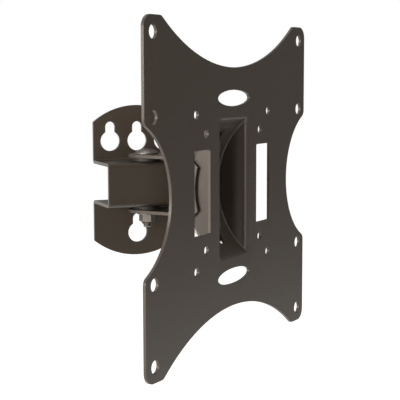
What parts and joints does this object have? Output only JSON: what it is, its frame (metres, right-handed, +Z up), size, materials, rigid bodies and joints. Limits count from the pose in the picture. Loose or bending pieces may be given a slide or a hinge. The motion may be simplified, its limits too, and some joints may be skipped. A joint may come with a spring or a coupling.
{
  "type": "tilt and swivel tv wall mount",
  "caption": "Wall mount for a flat television: a waisted VESA plate that tilts on a curved pocket and swivels on a folded link in front of a keyholed wall plate.",
  "frame": {"origin": "centre of the front face of the television plate, which is the centre of its screw hole patterns", "axes": "+X to the right seen from the television, +Y back towards the wall, +Z up; the wall plate is drawn turned about the swivel as in the picture"},
  "size_m": [0.22, 0.1081, 0.22],
  "materials": {
    "powder_coat": "satin dark grey-brown powder coat",
    "zinc": "plain zinc plate",
    "black_zinc": "dark plated steel",
    "nylon": "black nylon, matt"
  },
  "bodies": {
    "wall": {"wall_plate": "powder_coat"},
    "link": {"swivel_link": "powder_coat", "tilt_saddle": "powder_coat", "swivel_bolt": "black_zinc", "swivel_washer": "black_zinc", "swivel_nut": "black_zinc", "nylon_washer_upper": "nylon", "nylon_washer_lower": "nylon", "tilt_bolt_upper": "black_zinc", "tilt_bolt_lower": "black_zinc", "tilt_washer_upper": "zinc", "tilt_washer_lower": "zinc", "tilt_spring_washer_upper": "zinc", "tilt_spring_washer_lower": "zinc", "tilt_nut_upper": "zinc", "tilt_nut_lower": "zinc"},
    "tv": {"tv_plate": "powder_coat"}
  },
  "joints": [
    {"name": "swivel", "type": "hinge", "parent": "wall", "child": "link", "pos_m": [0, 0.0696, 0], "axis": [0, 0, 1], "range_deg": [-80.4, 3.6]},
    {"name": "tilt", "type": "hinge", "parent": "link", "child": "tv", "pos_m": [0, -0.03465, 0], "axis": [1, 0, 0], "range_deg": [-12, 12]}
  ]
}
